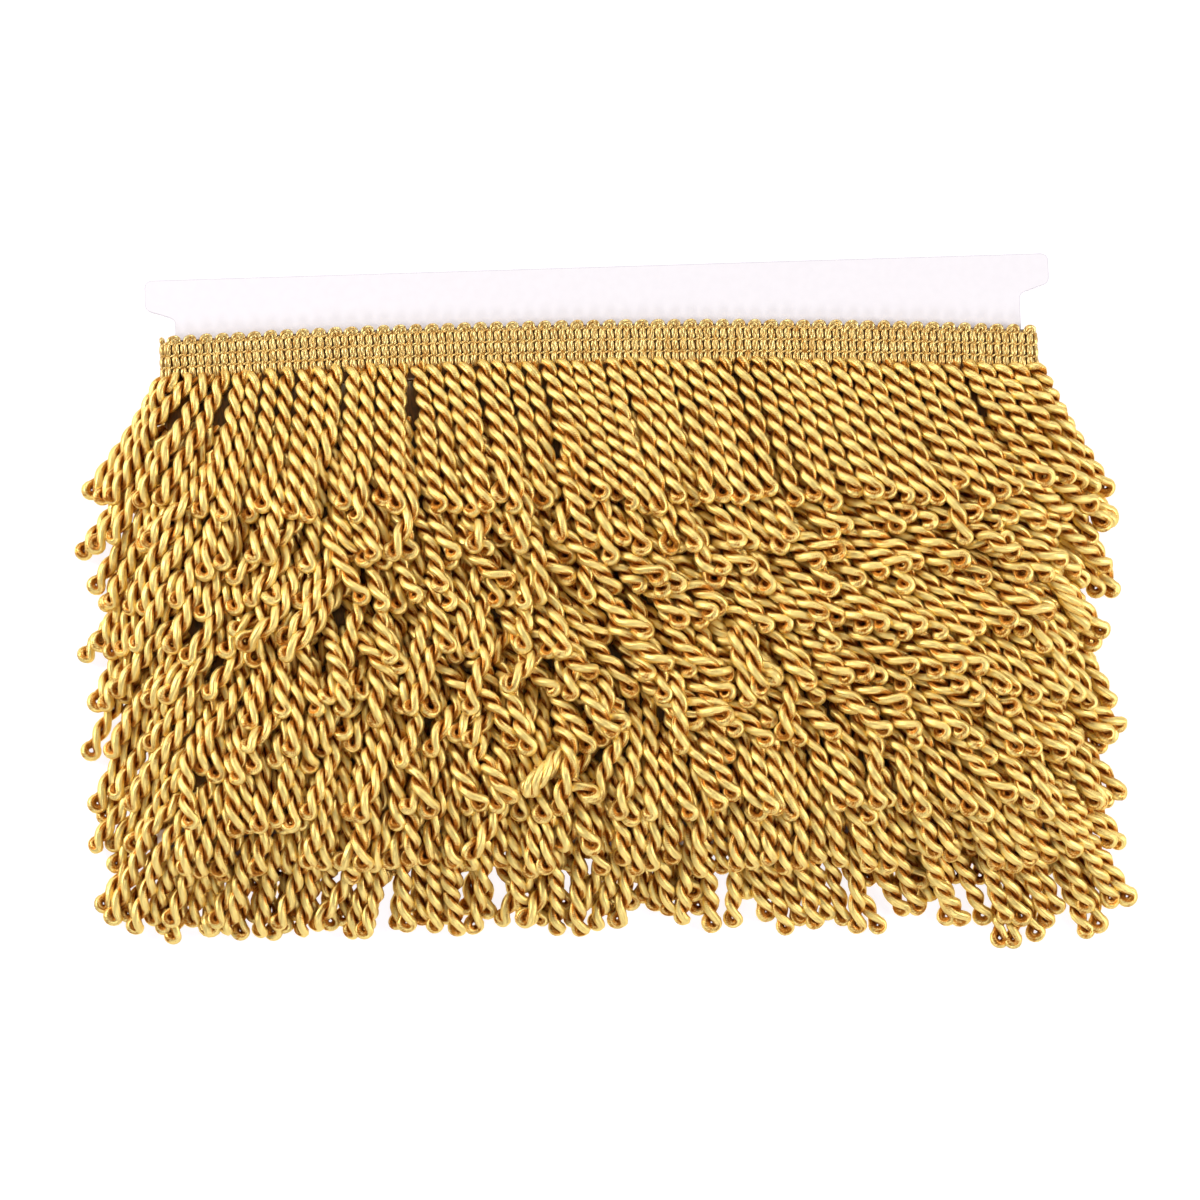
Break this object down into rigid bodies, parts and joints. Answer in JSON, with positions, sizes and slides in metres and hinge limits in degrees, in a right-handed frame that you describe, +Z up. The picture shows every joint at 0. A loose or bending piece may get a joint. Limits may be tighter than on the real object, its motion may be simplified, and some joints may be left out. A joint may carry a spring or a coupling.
{
  "type": "cord fringe trim wound on a card",
  "caption": "Twisted cord fringe with a narrow knitted heading, wound in overlapping turns on a flat eared card.",
  "frame": {"origin": "on the surface the wound trim lies on, under the middle of its box", "axes": "+X to the right along the card's long edges, +Y towards the card's top edge, +Z up out of the trim's face"},
  "size_m": [0.3118, 0.2028, 0.0309],
  "materials": {
    "white_card": "matt white board",
    "gold_tape": "satin knitted rayon tape",
    "gold_cord": "satin gimped rayon cord"
  },
  "bodies": {
    "root": {"card": "white_card", "heading": "gold_tape", "fringe": "gold_cord"}
  },
  "joints": []
}
